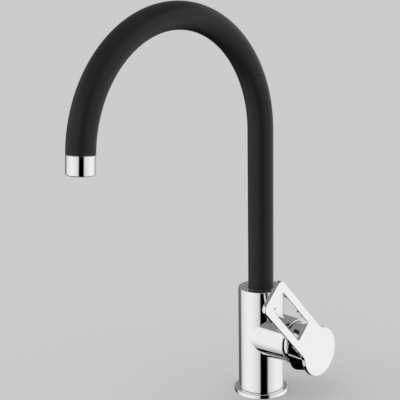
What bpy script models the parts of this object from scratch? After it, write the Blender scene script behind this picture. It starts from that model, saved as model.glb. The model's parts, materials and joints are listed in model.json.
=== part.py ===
"""Single-lever kitchen mixer tap with a swan-neck spout, built as separate pieces.

The origin is the centre of the base on the worktop, +Z is up, the spout points along -Y and the lever
housing branches along +X. Every length is in metres and follows from the named sizes below.
"""

import math

import bmesh
import bpy
from mathutils import Matrix, Vector

# Gaps and allowances that several pieces share
SEAT_GAP = 0.0003
RUN_GAP = 0.0004
OVERRUN = 0.001

# Share of a gap within which points of a turned piece merge
MERGE_SHARE = 0.01

# Faces that turn less than the first are one flat face, and edges sharper than the last are bevelled
FLAT_ANGLE = math.radians(0.5)
SMOOTH_ANGLE = math.radians(35.0)
BEVEL_ANGLE = math.radians(60.0)
QUARTER_TURN = math.radians(90.0)

# Facets on round pieces, small to large, and on the plain cells and keys
COARSE = 16
MEDIUM = 28
FINE = 40
O_RING_FACETS = 8
HEXAGON = 6
SQUARE = 4

# Steps along single arcs
ARC_STEPS = 28
EDGE_STEPS = 3
DOME_STEPS = 5
BALL_STEPS = 5
HUB_STEPS = 14
CORNER_STEPS = 5
FILLET_STEPS = 4
DISC_STEPS = 30

# Cartridge, which sets the bore of the branch
CARTRIDGE_RADIUS = 0.0173
CHAMBER_DEPTH = 0.0307
SEAL_THICKNESS = 0.0014
SEAL_WIDTH = 0.0023
CARTRIDGE_BASE_THICKNESS = 0.0035
CARTRIDGE_WALL = 0.0045
CARTRIDGE_NECK_WALL = 0.0013
FIXED_DISC_THICKNESS = 0.0030
MOVING_DISC_THICKNESS = 0.0030
CARRIER_THICKNESS = 0.0046
DISC_CLEARANCE = 0.0016
PORT_RADIUS = 0.0030
PORT_RIM = 0.0020
INLET_PORT_ANGLE = math.radians(63.82)
MIXING_POCKET_RADIUS = 0.0062
MIXING_POCKET_DEPTH = 0.0014
TURRET_SLOT_PLAY = 0.0022

# Branch that holds the cartridge, and its seam
BRANCH_WALL = 0.0032
BRANCH_TAPER = 0.0016
BRANCH_HEIGHT = 0.0613
BRANCH_REACH = 0.0447
BRANCH_EDGE = 0.0008
NUT_LENGTH = 0.0048

# Lever pivot, stem and dome
PIVOT_INSET = 0.0070
STEM_RADIUS = 0.0040
STEM_NECK_RADIUS = 0.0018
STEM_BALL_RADIUS = 0.0022
STEM_BALL_DROP = 0.0076
STEM_NECK_DROP = 0.0042
PIN_RADIUS = 0.0015
PIN_END_INSET = 0.0012
DOME_INSET = 0.0005
DOME_WALL = 0.0016
DOME_OPENING_ANGLE = math.radians(43.0)
DOME_SKIRT = 0.0042

# Lever hub and plate
LEVER_LEAN = math.radians(44.2)
LEVER_LIFT_MOST = math.radians(22.0)
HUB_BORE_SHIFT = 0.0020
HUB_BORE_RADIUS = 0.0185
HUB_BORE_DEPTH = 0.0132
HUB_BACK_SHIFT = 0.0002
HUB_BACK_RADIUS = 0.0204
HUB_BACK_GAP = 0.0048
HUB_BACK_TILT = math.radians(5.14)
HUB_EDGE = 0.0013
HUB_FRONT_SHIFT = 0.0150
HUB_FRONT_RADIUS = 0.0169
HUB_FRONT_FLAT = 0.0002
HUB_CAVITY_DEPTH = 0.0205
HUB_CAVITY_END_RADIUS = 0.0104
HUB_FLOOR = 0.0070
HUB_BOSS_RADIUS = 0.0060
HUB_BOSS_LENGTH = 0.0060
HUB_DRAFT = 0.0008
STEM_GRIP = 0.0034
DISC_RADIUS = 0.0242
DISC_SHIFT = 0.0088
PLATE_THICKNESS = 0.0040
PLATE_EDGE = 0.0009
LOOP_HALF_WIDTH = 0.0179
LOOP_TIP = 0.0950
LOOP_CORNER = 0.0060
LOOP_FILLET = 0.0130
WINDOW_HALF_WIDTH = 0.0099
WINDOW_FOOT = 0.0292
WINDOW_TOP = 0.0832
WINDOW_CORNER = 0.0012
LEVER_SCREW_RADIUS = 0.0019
LEVER_SCREW_LENGTH = 0.0080
PLUG_LENGTH = 0.0040

# Spout tube and its tail
TUBE_RADIUS = 0.0125
TUBE_WALL = 0.0012
ARC_RADIUS = 0.1123
ARC_SWEEP = math.radians(176.4)
COLUMN_RISE = 0.1570
LEG_LENGTH = 0.0013
BUSH_WALL = 0.0022
O_RING_SECTION = 0.0019
TAIL_BORE = 0.0075
TAIL_LAND = 0.0009
TAIL_SPIGOT_LENGTH = 0.0110
LOWER_BUSH_HEIGHT = 0.0040
UPPER_BUSH_HEIGHT = 0.0042
COVER_RING_HEIGHT = 0.0014
RETAINING_GROOVE_WIDTH = 0.0030
RETAINING_GROOVE_DEPTH = 0.0015
SOCKET_FLOOR_WALL = 0.0030

# Body barrel and foot
BODY_LIP = 0.0001
BODY_EDGE = 0.0007
BASE_RING_STEP = 0.00435
BASE_RING_HEIGHT = 0.0040
BASE_RING_EDGE = 0.0007
FOOT_SPIGOT_INSET = 0.0020
FOOT_SPIGOT_WALL = 0.0035
RECESS_DEPTH = 0.0120
GASKET_WIDTH = 0.0025
GASKET_HEIGHT = 0.0016
GASKET_INSET = 0.0018
CHANNEL_RADIUS = 0.0034
CHANNEL_X = 0.0040
INLET_SPACING = 0.0140
NIPPLE_RADIUS = 0.0046
NIPPLE_BORE = 0.0026
NIPPLE_ENGAGEMENT = 0.0090
NIPPLE_COLLAR_RADIUS = 0.0058
NIPPLE_COLLAR_HEIGHT = 0.0022
NIPPLE_END_LENGTH = 0.0062
STUD_HOLE_RADIUS = 0.0034
STUD_HOLE_DEPTH = 0.0180
STUD_HOLE_X = -0.0090
BODY_SCREW_RADIUS = 0.0022
BODY_SCREW_TIP_RADIUS = 0.0010
BODY_SCREW_RECESS = 0.0010
HEX_SOCKET_RADIUS = 0.0012
HEX_SOCKET_DEPTH = 0.0020

# Nozzle sleeve and aerator
NOZZLE_INSET = 0.0001
NOZZLE_LENGTH = 0.0167
NOZZLE_EDGE = 0.0014
NOZZLE_SPIGOT_LENGTH = 0.0052
NOZZLE_SPIGOT_WALL = 0.0008
NOZZLE_LIP_WIDTH = 0.0012
NOZZLE_LIP_HEIGHT = 0.0014
AERATOR_LENGTH = 0.0090
SCREEN_THICKNESS = 0.0012
AERATOR_SEAL_HEIGHT = 0.0022
AERATOR_SEAL_WIDTH = 0.0024
CELL_RADIUS = 0.0012
CELL_PITCH = 0.0030
CELL_RINGS = 2

# Sizes that follow
CHAMBER_RADIUS = CARTRIDGE_RADIUS + SEAT_GAP
CHAMBER_FLOOR = BRANCH_REACH - CHAMBER_DEPTH
BRANCH_END_RADIUS = CHAMBER_RADIUS + BRANCH_WALL
BRANCH_ROOT_RADIUS = BRANCH_END_RADIUS + BRANCH_TAPER
BODY_RADIUS = BRANCH_ROOT_RADIUS + BODY_LIP
PIVOT_X = BRANCH_REACH - PIVOT_INSET
DOME_RADIUS = BRANCH_END_RADIUS - DOME_INSET

TUBE_BORE = TUBE_RADIUS - TUBE_WALL
SOCKET_RADIUS = TUBE_RADIUS + BUSH_WALL + 2 * SEAT_GAP
SOCKET_FLOOR = BRANCH_HEIGHT + CHAMBER_RADIUS + SOCKET_FLOOR_WALL
O_RING_GROOVE = 2 * O_RING_SECTION + 2 * SEAT_GAP
O_RING_GROOVE_DEPTH = O_RING_GROOVE - BUSH_WALL - SEAT_GAP
TAIL_FOOT = SOCKET_FLOOR + RUN_GAP
TAIL_SHOULDER = TAIL_FOOT + LOWER_BUSH_HEIGHT + SEAT_GAP
LOWER_GROOVE = TAIL_SHOULDER + TAIL_LAND
RETAINING_GROOVE = LOWER_GROOVE + O_RING_GROOVE + TAIL_LAND
UPPER_GROOVE = RETAINING_GROOVE + RETAINING_GROOVE_WIDTH + TAIL_LAND
TAIL_TOP = UPPER_GROOVE + O_RING_GROOVE + TAIL_LAND
TUBE_FOOT = TAIL_TOP + SEAT_GAP
UPPER_BUSH_FOOT = TUBE_FOOT + SEAT_GAP
COVER_RING_FOOT = UPPER_BUSH_FOOT + UPPER_BUSH_HEIGHT + SEAT_GAP
BODY_TOP = COVER_RING_FOOT + COVER_RING_HEIGHT
ARC_HEIGHT = BODY_TOP + COLUMN_RISE

BODY_FOOT = BASE_RING_HEIGHT + SEAT_GAP
FOOT_SPIGOT_RADIUS = BODY_RADIUS - FOOT_SPIGOT_INSET
RECESS_RADIUS = FOOT_SPIGOT_RADIUS - FOOT_SPIGOT_WALL
BASE_RING_RADIUS = BODY_RADIUS + BASE_RING_STEP


# Materials

def material(name, colour, roughness, metallic):
    """A Principled material, made once and shared."""
    found = bpy.data.materials.get(name)
    if found:
        return found
    made = bpy.data.materials.new(name)
    made.use_nodes = True
    shader = made.node_tree.nodes["Principled BSDF"]
    shader.inputs["Base Color"].default_value = (*colour, 1.0)
    shader.inputs["Roughness"].default_value = roughness
    shader.inputs["Metallic"].default_value = metallic
    made.diffuse_color = (*colour, 1.0)
    return made


def chrome():
    return material("polished_chrome", (0.82, 0.83, 0.84), 0.05, 1.0)


def black_paint():
    return material("satin_black", (0.022, 0.022, 0.023), 0.38, 0.0)


def brass():
    return material("brass", (0.72, 0.55, 0.28), 0.30, 1.0)


def steel():
    return material("stainless_steel", (0.60, 0.60, 0.61), 0.28, 1.0)


def rubber():
    return material("black_rubber", (0.02, 0.02, 0.02), 0.75, 0.0)


def acetal():
    return material("white_acetal", (0.78, 0.78, 0.76), 0.45, 0.0)


def grey_plastic():
    return material("grey_plastic", (0.20, 0.21, 0.22), 0.50, 0.0)


def ceramic():
    return material("white_ceramic", (0.86, 0.86, 0.84), 0.20, 0.0)


# Building blocks

def empty(name, matrix, parent=None):
    made = bpy.data.objects.new(name, None)
    bpy.context.scene.collection.objects.link(made)
    made.parent = parent
    made.matrix_basis = matrix
    return made


def finish(name, bm, look, parent):
    """Turns a bmesh into a named object with outward faces and smooth round sides."""
    bmesh.ops.recalc_face_normals(bm, faces=bm.faces)
    mesh = bpy.data.meshes.new(name)
    bm.to_mesh(mesh)
    bm.free()
    mesh.shade_smooth()
    mesh.set_sharp_from_angle(angle=SMOOTH_ANGLE)
    made = bpy.data.objects.new(name, mesh)
    bpy.context.scene.collection.objects.link(made)
    made.parent = parent
    if look:
        mesh.materials.append(look)
    return made


def turned(name, profile, look=None, parent=None, facets=MEDIUM, along=None):
    """A lathe piece: the closed profile of (radius, height) points turned about Z, then laid by a matrix."""
    bm = bmesh.new()
    corners = [bm.verts.new((radius, 0, height)) for radius, height in profile]
    edges = [bm.edges.new(pair) for pair in zip(corners, corners[1:])]
    on_axis = profile[0][0] == 0 and profile[-1][0] == 0
    if not on_axis:
        edges.append(bm.edges.new((corners[-1], corners[0])))
    bmesh.ops.spin(
        bm,
        geom=corners + edges,
        cent=(0, 0, 0),
        axis=(0, 0, 1),
        angle=2 * math.pi,
        steps=facets,
        use_merge=True,
    )
    bmesh.ops.remove_doubles(bm, verts=bm.verts, dist=SEAT_GAP * MERGE_SHARE)
    bmesh.ops.dissolve_limit(bm, angle_limit=FLAT_ANGLE, verts=bm.verts, edges=bm.edges)
    if along:
        bmesh.ops.transform(bm, matrix=along, verts=bm.verts)
    return finish(name, bm, look, parent)


def ring(inner, outer, foot, top):
    """The profile of a plain ring."""
    return [(outer, top), (outer, foot), (inner, foot), (inner, top)]


def rod(radius, foot, top):
    """The profile of a plain round bar."""
    return [(0, top), (radius, top), (radius, foot), (0, foot)]


def arc(centre, radius, start, stop, steps):
    """Points round a centre, from one angle to another, both included."""
    turns = [start + (stop - start) * step / steps for step in range(steps + 1)]
    return [
        (centre[0] + radius * math.cos(turn), centre[1] + radius * math.sin(turn))
        for turn in turns
    ]


def extruded(name, outline, start, stop, look=None, parent=None):
    """A flat outline of (y, z) points in a plane across X, drawn out from start to stop."""
    bm = bmesh.new()
    face = bm.faces.new([bm.verts.new((start, y, z)) for y, z in outline])
    drawn = bmesh.ops.extrude_face_region(bm, geom=[face])
    moved = [item for item in drawn["geom"] if isinstance(item, bmesh.types.BMVert)]
    bmesh.ops.translate(bm, verts=moved, vec=(stop - start, 0, 0))
    return finish(name, bm, look, parent)


def lofted(name, loops, look=None, parent=None, capped=True):
    """A solid through closed loops that have the same number of points, capped or led back to the first."""
    bm = bmesh.new()
    rows = [[bm.verts.new(point) for point in loop] for loop in loops]
    if capped:
        bm.faces.new(rows[0])
        bm.faces.new(rows[-1])
    else:
        rows.append(rows[0])
    for row, following in zip(rows, rows[1:]):
        for place, corner in enumerate(row):
            after = (place + 1) % len(row)
            bm.faces.new((corner, row[after], following[after], following[place]))
    return finish(name, bm, look, parent)


def boolean(target, operation, helper):
    """Cuts a helper from the target, or joins it on, and leaves the helper out of the part."""
    helper.hide_render = True
    helper.display_type = "WIRE"
    modifier = target.modifiers.new(helper.name, "BOOLEAN")
    modifier.operation = operation
    modifier.solver = "EXACT"
    modifier.object = helper


def cut(target, helper):
    boolean(target, "DIFFERENCE", helper)


def join(target, helper):
    boolean(target, "UNION", helper)


def bevel(target, width):
    modifier = target.modifiers.new("edge", "BEVEL")
    modifier.width = width
    modifier.segments = 1
    modifier.limit_method = "ANGLE"
    modifier.angle_limit = BEVEL_ANGLE
    modifier.use_clamp_overlap = True


ALONG_X = Matrix.Rotation(QUARTER_TURN, 4, "Y")
ALONG_Y = Matrix.Rotation(-QUARTER_TURN, 4, "X")


# Fixed body

def body_casting():
    """Upright barrel with the branch, bored for the spout, the cartridge and the waterways."""
    barrel = turned(
        "body_casting",
        [
            (0, BODY_TOP),
            (BODY_RADIUS - BODY_EDGE, BODY_TOP),
            (BODY_RADIUS, BODY_TOP - BODY_EDGE),
            (BODY_RADIUS, BODY_FOOT),
            (FOOT_SPIGOT_RADIUS, BODY_FOOT),
            (FOOT_SPIGOT_RADIUS, SEAT_GAP),
            (0, SEAT_GAP),
        ],
        chrome(),
        facets=FINE,
    )
    branch = turned(
        "branch_form",
        [
            (0, BRANCH_REACH),
            (BRANCH_END_RADIUS - BRANCH_EDGE, BRANCH_REACH),
            (BRANCH_END_RADIUS, BRANCH_REACH - BRANCH_EDGE),
            (BRANCH_ROOT_RADIUS, BODY_RADIUS),
            (BRANCH_ROOT_RADIUS, 0),
            (0, 0),
        ],
        facets=FINE,
        along=Matrix.Translation((0, 0, BRANCH_HEIGHT)) @ ALONG_X,
    )
    join(barrel, branch)
    for helper in body_cutters():
        cut(barrel, helper)
    return barrel


def body_cutters():
    """The hollows of the casting: two sockets, a foot recess, ports, channels and screw holes."""
    branch_axis = Matrix.Translation((0, 0, BRANCH_HEIGHT)) @ ALONG_X
    cutters = [
        turned("spout_socket", rod(SOCKET_RADIUS, SOCKET_FLOOR, BODY_TOP + OVERRUN), facets=FINE),
        turned(
            "cartridge_chamber",
            rod(CHAMBER_RADIUS, CHAMBER_FLOOR, BRANCH_REACH + OVERRUN),
            facets=FINE,
            along=branch_axis,
        ),
        turned("foot_recess", rod(RECESS_RADIUS, -OVERRUN, RECESS_DEPTH), facets=MEDIUM),
        turned(
            "stud_hole",
            rod(STUD_HOLE_RADIUS, RECESS_DEPTH - OVERRUN, RECESS_DEPTH + STUD_HOLE_DEPTH),
            facets=COARSE,
            along=Matrix.Translation((STUD_HOLE_X, 0, 0)),
        ),
        turned(
            "body_screw_hole",
            rod(BODY_SCREW_RADIUS + SEAT_GAP, 0, BODY_RADIUS + OVERRUN),
            facets=COARSE,
            along=Matrix.Translation((0, 0, body_screw_height())) @ ALONG_Y,
        ),
    ]
    for name, (side, height) in port_places().items():
        cutters.append(
            turned(
                name + "_port",
                rod(PORT_RADIUS, CHANNEL_X, CHAMBER_FLOOR + OVERRUN),
                facets=COARSE,
                along=Matrix.Translation((0, side, BRANCH_HEIGHT + height)) @ ALONG_X,
            )
        )
    cutters.append(
        turned(
            "outlet_channel",
            rod(CHANNEL_RADIUS, BRANCH_HEIGHT + port_places()["outlet"][1], SOCKET_FLOOR + OVERRUN),
            facets=COARSE,
            along=Matrix.Translation((CHANNEL_X, 0, 0)),
        )
    )
    for name, sign in (("hot", -1), ("cold", 1)):
        at = Matrix.Translation((CHANNEL_X, sign * INLET_SPACING / 2, 0))
        top = BRANCH_HEIGHT + port_places()[name][1]
        cutters.append(
            turned(name + "_channel", rod(CHANNEL_RADIUS, RECESS_DEPTH, top), facets=COARSE, along=at)
        )
        cutters.append(
            turned(
                name + "_inlet_thread",
                rod(NIPPLE_RADIUS + SEAT_GAP, RECESS_DEPTH - OVERRUN, RECESS_DEPTH + NIPPLE_ENGAGEMENT),
                facets=COARSE,
                along=at,
            )
        )
    return cutters


def port_places():
    """Each port's place (side, height) on the cartridge's floor: outlet on top, inlets below."""
    circle = turret_radius() - PORT_RIM - PORT_RADIUS
    side = circle * math.sin(INLET_PORT_ANGLE)
    drop = circle * math.cos(INLET_PORT_ANGLE)
    return {"outlet": (0, circle), "hot": (-side, -drop), "cold": (side, -drop)}


def body_screw_height():
    return RETAINING_GROOVE + RETAINING_GROOVE_WIDTH / 2


def base_ring():
    """Chrome flange round the foot spigot, with a groove for the gasket in its underside."""
    return turned(
        "base_ring",
        [
            (BASE_RING_RADIUS - BASE_RING_EDGE, BASE_RING_HEIGHT),
            (BASE_RING_RADIUS, BASE_RING_HEIGHT - BASE_RING_EDGE),
            (BASE_RING_RADIUS, 0),
            (gasket_outer() + SEAT_GAP, 0),
            (gasket_outer() + SEAT_GAP, GASKET_HEIGHT + SEAT_GAP),
            (gasket_outer() - GASKET_WIDTH - SEAT_GAP, GASKET_HEIGHT + SEAT_GAP),
            (gasket_outer() - GASKET_WIDTH - SEAT_GAP, 0),
            (FOOT_SPIGOT_RADIUS + SEAT_GAP, 0),
            (FOOT_SPIGOT_RADIUS + SEAT_GAP, BASE_RING_HEIGHT),
        ],
        chrome(),
        facets=FINE,
    )


def gasket_outer():
    return BASE_RING_RADIUS - GASKET_INSET


def base_gasket():
    return turned(
        "base_gasket",
        ring(gasket_outer() - GASKET_WIDTH, gasket_outer(), 0, GASKET_HEIGHT),
        rubber(),
        facets=MEDIUM,
    )


def inlet_nipple(name, sign):
    """Hollow brass nipple screwed into the foot, with a collar and a free end for the supply hose."""
    collar_top = RECESS_DEPTH - SEAT_GAP
    collar_foot = collar_top - NIPPLE_COLLAR_HEIGHT
    end = collar_foot - NIPPLE_END_LENGTH
    top = RECESS_DEPTH + NIPPLE_ENGAGEMENT - SEAT_GAP
    return turned(
        name + "_inlet_nipple",
        [
            (NIPPLE_RADIUS, top),
            (NIPPLE_RADIUS, collar_top),
            (NIPPLE_COLLAR_RADIUS, collar_top),
            (NIPPLE_COLLAR_RADIUS, collar_foot),
            (NIPPLE_RADIUS, collar_foot),
            (NIPPLE_RADIUS, end),
            (NIPPLE_BORE, end),
            (NIPPLE_BORE, top),
        ],
        brass(),
        facets=COARSE,
        along=Matrix.Translation((CHANNEL_X, sign * INLET_SPACING / 2, 0)),
    )


def body_screw():
    """Grub screw at the back of the body whose tip runs in the tail's groove."""
    groove_floor = TUBE_RADIUS - RETAINING_GROOVE_DEPTH
    shoulder = SOCKET_RADIUS + SEAT_GAP
    head = BODY_RADIUS - BODY_SCREW_RECESS
    made = turned(
        "spout_retaining_screw",
        [
            (0, head),
            (BODY_SCREW_RADIUS, head),
            (BODY_SCREW_RADIUS, shoulder),
            (BODY_SCREW_TIP_RADIUS, shoulder),
            (BODY_SCREW_TIP_RADIUS, groove_floor + RUN_GAP),
            (0, groove_floor + RUN_GAP),
        ],
        steel(),
        facets=COARSE,
        along=Matrix.Translation((0, 0, body_screw_height())) @ ALONG_Y,
    )
    cut(made, hex_socket("body_screw_key", Matrix.Translation((0, head, body_screw_height())) @ ALONG_Y))
    return made


def hex_socket(name, mouth):
    """Cutter for a hexagon key, whose mouth is the matrix's origin and which goes in along its -Z."""
    profile = rod(HEX_SOCKET_RADIUS, -HEX_SOCKET_DEPTH, OVERRUN)
    return turned(name, profile, facets=HEXAGON, along=mouth)


# Spout, which swivels about the upright axis

def spout_tube(pivot):
    """Bent tube: rings up the column, round the arc and down to the nozzle, outside and inside."""
    outside = tube_rings(TUBE_RADIUS)
    inside = tube_rings(TUBE_BORE)
    return lofted("spout_tube", outside + inside[::-1], black_paint(), pivot, capped=False)


def tube_rings(radius):
    """Loops of points round the spout's centre line, from its foot to its open end."""
    places = [(Vector((0, 0, TUBE_FOOT)), 0)]
    for step in range(ARC_STEPS + 1):
        turn = ARC_SWEEP * step / ARC_STEPS
        places.append((arc_centre() + across(turn) * ARC_RADIUS, turn))
    places.append((leg_end(), ARC_SWEEP))
    rings = []
    for centre, turn in places:
        sideways = Vector((radius, 0, 0))
        upwards = across(turn) * radius
        circle = arc((0, 0), 1, 0, 2 * math.pi, MEDIUM)[:-1]
        rings.append([centre + sideways * x + upwards * y for x, y in circle])
    return rings


def arc_centre():
    return Vector((0, -ARC_RADIUS, ARC_HEIGHT))


def across(turn):
    """Unit step from the arc's centre to the tube's centre line, after a turn of the arc."""
    return Vector((0, math.cos(turn), math.sin(turn)))


def leg_direction():
    """The way the spout points where the arc ends."""
    return Vector((0, -math.sin(ARC_SWEEP), math.cos(ARC_SWEEP)))


def leg_end():
    """The centre of the tube's open end."""
    return arc_centre() + across(ARC_SWEEP) * ARC_RADIUS + leg_direction() * LEG_LENGTH


def spout_tail(pivot):
    """Brass tail inside the body, grooved for two O-rings and the retaining screw."""
    groove = TUBE_RADIUS - O_RING_GROOVE_DEPTH
    retaining = TUBE_RADIUS - RETAINING_GROOVE_DEPTH
    spigot = TUBE_BORE - SEAT_GAP
    return turned(
        "spout_tail",
        [
            (spigot, TUBE_FOOT + TAIL_SPIGOT_LENGTH),
            (spigot, TAIL_TOP),
            (TUBE_RADIUS, TAIL_TOP),
            (TUBE_RADIUS, UPPER_GROOVE + O_RING_GROOVE),
            (groove, UPPER_GROOVE + O_RING_GROOVE),
            (groove, UPPER_GROOVE),
            (TUBE_RADIUS, UPPER_GROOVE),
            (TUBE_RADIUS, RETAINING_GROOVE + RETAINING_GROOVE_WIDTH),
            (retaining, RETAINING_GROOVE + RETAINING_GROOVE_WIDTH),
            (retaining, RETAINING_GROOVE),
            (TUBE_RADIUS, RETAINING_GROOVE),
            (TUBE_RADIUS, LOWER_GROOVE + O_RING_GROOVE),
            (groove, LOWER_GROOVE + O_RING_GROOVE),
            (groove, LOWER_GROOVE),
            (TUBE_RADIUS, LOWER_GROOVE),
            (TUBE_RADIUS, TAIL_SHOULDER),
            (groove, TAIL_SHOULDER),
            (groove, TAIL_FOOT),
            (TAIL_BORE, TAIL_FOOT),
            (TAIL_BORE, TUBE_FOOT + TAIL_SPIGOT_LENGTH),
        ],
        brass(),
        pivot,
    )


def o_ring(name, groove_foot, pivot):
    """Round-section ring seated in one of the tail's grooves."""
    centre = (
        TUBE_RADIUS - O_RING_GROOVE_DEPTH + SEAT_GAP + O_RING_SECTION,
        groove_foot + O_RING_GROOVE / 2,
    )
    section = arc(centre, O_RING_SECTION, 0, 2 * math.pi, O_RING_FACETS)[:-1]
    return turned(name, section[::-1], rubber(), pivot)


def lower_bush():
    """Acetal ring on the socket's floor that centres the tail."""
    inner = TUBE_RADIUS - O_RING_GROOVE_DEPTH + SEAT_GAP
    foot = SOCKET_FLOOR + SEAT_GAP
    top = SOCKET_FLOOR + LOWER_BUSH_HEIGHT
    return turned("lower_spout_bush", ring(inner, SOCKET_RADIUS - SEAT_GAP, foot, top), acetal())


def upper_bush():
    """Acetal ring that the tube turns in, just under the cover ring."""
    inner = TUBE_RADIUS + SEAT_GAP
    top = UPPER_BUSH_FOOT + UPPER_BUSH_HEIGHT
    profile = ring(inner, SOCKET_RADIUS - SEAT_GAP, UPPER_BUSH_FOOT, top)
    return turned("upper_spout_bush", profile, acetal())


def cover_ring():
    """Chrome ring that closes the socket round the tube, flush with the body's top."""
    return turned(
        "spout_cover_ring",
        ring(TUBE_RADIUS + SEAT_GAP, SOCKET_RADIUS - SEAT_GAP, COVER_RING_FOOT, BODY_TOP),
        chrome(),
    )


# Nozzle, drawn downwards from the tube's end along the spout's own direction

def nozzle_frame(pivot):
    """Empty at the tube's end whose -Z is the way the water leaves."""
    turn = Matrix.Rotation(ARC_SWEEP - math.pi, 4, "X")
    return empty("nozzle_frame", Matrix.Translation(leg_end()) @ turn, pivot)


def nozzle_sleeve(frame):
    outer = TUBE_RADIUS - NOZZLE_INSET
    spigot = TUBE_BORE - SEAT_GAP
    foot = -SEAT_GAP - NOZZLE_LENGTH
    return turned(
        "nozzle_sleeve",
        [
            (spigot, NOZZLE_SPIGOT_LENGTH),
            (spigot, -SEAT_GAP),
            (outer, -SEAT_GAP),
            *arc((outer - NOZZLE_EDGE, foot + NOZZLE_EDGE), NOZZLE_EDGE, 0, -math.pi / 2, EDGE_STEPS),
            (nozzle_bore() - NOZZLE_LIP_WIDTH, foot),
            (nozzle_bore() - NOZZLE_LIP_WIDTH, foot + NOZZLE_LIP_HEIGHT),
            (nozzle_bore(), foot + NOZZLE_LIP_HEIGHT),
            (nozzle_bore(), NOZZLE_SPIGOT_LENGTH),
        ],
        chrome(),
        frame,
        facets=MEDIUM,
    )


def nozzle_bore():
    return TUBE_BORE - SEAT_GAP - NOZZLE_SPIGOT_WALL


def aerator_foot():
    return -NOZZLE_LENGTH + NOZZLE_LIP_HEIGHT


def aerator_insert(frame):
    """Plastic honeycomb above the nozzle's lip, with a hexagonal field of straight cells."""
    foot = aerator_foot()
    made = turned(
        "aerator_insert",
        rod(nozzle_bore() - SEAT_GAP, foot, foot + AERATOR_LENGTH),
        acetal(),
        frame,
    )
    for number, (x, y) in enumerate(cell_places()):
        cell = turned(
            f"aerator_cell_{number}",
            rod(CELL_RADIUS, foot - OVERRUN, foot + AERATOR_LENGTH + OVERRUN),
            parent=frame,
            facets=HEXAGON,
            along=Matrix.Translation((x, y, 0)),
        )
        cut(made, cell)
    return made


def cell_places():
    """Centres of a hexagonal field of cells, one in the middle and whole rings round it."""
    places = []
    for along in range(-CELL_RINGS, CELL_RINGS + 1):
        for across in range(-CELL_RINGS, CELL_RINGS + 1):
            if abs(along + across) <= CELL_RINGS:
                x = CELL_PITCH * (along + across / 2)
                y = CELL_PITCH * across * math.sin(math.pi / 3)
                places.append((x, y))
    return places


def aerator_screen(frame):
    foot = aerator_foot() + AERATOR_LENGTH + SEAT_GAP
    made = turned(
        "aerator_screen",
        rod(nozzle_bore() - SEAT_GAP, foot, foot + SCREEN_THICKNESS),
        steel(),
        frame,
    )
    for number, (x, y) in enumerate(cell_places()):
        hole = turned(
            f"screen_hole_{number}",
            rod(CELL_RADIUS, foot - OVERRUN, foot + SCREEN_THICKNESS + OVERRUN),
            parent=frame,
            facets=SQUARE,
            along=Matrix.Translation((x, y, 0)),
        )
        cut(made, hole)
    return made


def aerator_seal(frame):
    foot = aerator_foot() + AERATOR_LENGTH + SCREEN_THICKNESS + 2 * SEAT_GAP
    outer = nozzle_bore() - SEAT_GAP
    return turned(
        "aerator_seal",
        ring(outer - AERATOR_SEAL_WIDTH, outer, foot, foot + AERATOR_SEAL_HEIGHT),
        rubber(),
        frame,
    )


# Cartridge. Its frame lies on the branch's axis, with Z towards the lever's tip and X outwards

def along_branch(height):
    """A place on the branch's axis, in the lever's frame, whose Z runs outwards along the branch."""
    return Matrix.Translation((height, 0, 0)) @ ALONG_X


def layer_heights():
    """Where each layer of the cartridge starts, from the chamber's floor outwards."""
    layers = [
        ("seal", SEAL_THICKNESS),
        ("base", CARTRIDGE_BASE_THICKNESS),
        ("fixed_disc", FIXED_DISC_THICKNESS),
        ("moving_disc", MOVING_DISC_THICKNESS),
        ("carrier", CARRIER_THICKNESS),
    ]
    starts = {}
    height = CHAMBER_FLOOR + SEAT_GAP
    for name, thickness in layers:
        starts[name] = height
        height += thickness + SEAT_GAP
    starts["turret"] = height
    return starts


def shoulder_height():
    """The cartridge's shoulder, which the nut presses on."""
    return dome_skirt_foot() - SEAT_GAP - NUT_LENGTH - SEAT_GAP


def dome_skirt_foot():
    return BRANCH_REACH - DOME_SKIRT


def turret_radius():
    return CARTRIDGE_RADIUS - CARTRIDGE_WALL


def neck_radius():
    return turret_radius() + SEAT_GAP + CARTRIDGE_NECK_WALL


def turret_top():
    return PIVOT_X + STEM_RADIUS


def cartridge_seal(axis):
    return turned(
        "cartridge_seal",
        ring(CARTRIDGE_RADIUS - SEAL_WIDTH, CARTRIDGE_RADIUS, 0, SEAL_THICKNESS),
        rubber(),
        axis,
        along=along_branch(layer_heights()["seal"]),
    )


def ported_disc(name, radius, thickness, start, look, axis):
    """Round plate on the branch's axis with the three water ports."""
    made = turned(name, rod(radius, 0, thickness), look, axis, along=along_branch(start))
    for port, (side, height) in port_places().items():
        helper = turned(
            f"{name}_{port}_hole",
            rod(PORT_RADIUS, -OVERRUN, thickness + OVERRUN),
            parent=axis,
            facets=COARSE,
            along=Matrix.Translation((0, side, height)) @ along_branch(start),
        )
        cut(made, helper)
    return made


def cartridge_housing(axis):
    """Plastic shell round the discs and the turret, with a shoulder for the nut."""
    start = layer_heights()["fixed_disc"]
    bore = turret_radius() + SEAT_GAP
    return turned(
        "cartridge_housing",
        [
            (neck_radius(), turret_top() - start),
            (neck_radius(), shoulder_height() - start),
            (CARTRIDGE_RADIUS, shoulder_height() - start),
            (CARTRIDGE_RADIUS, 0),
            (bore, 0),
            (bore, turret_top() - start),
        ],
        acetal(),
        axis,
        along=along_branch(start),
    )


def retaining_nut(axis):
    """Brass ring nut that holds the cartridge down."""
    return turned(
        "cartridge_nut",
        ring(neck_radius() + SEAT_GAP, CARTRIDGE_RADIUS, 0, NUT_LENGTH),
        brass(),
        axis,
        along=along_branch(shoulder_height() + SEAT_GAP),
    )


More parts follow.
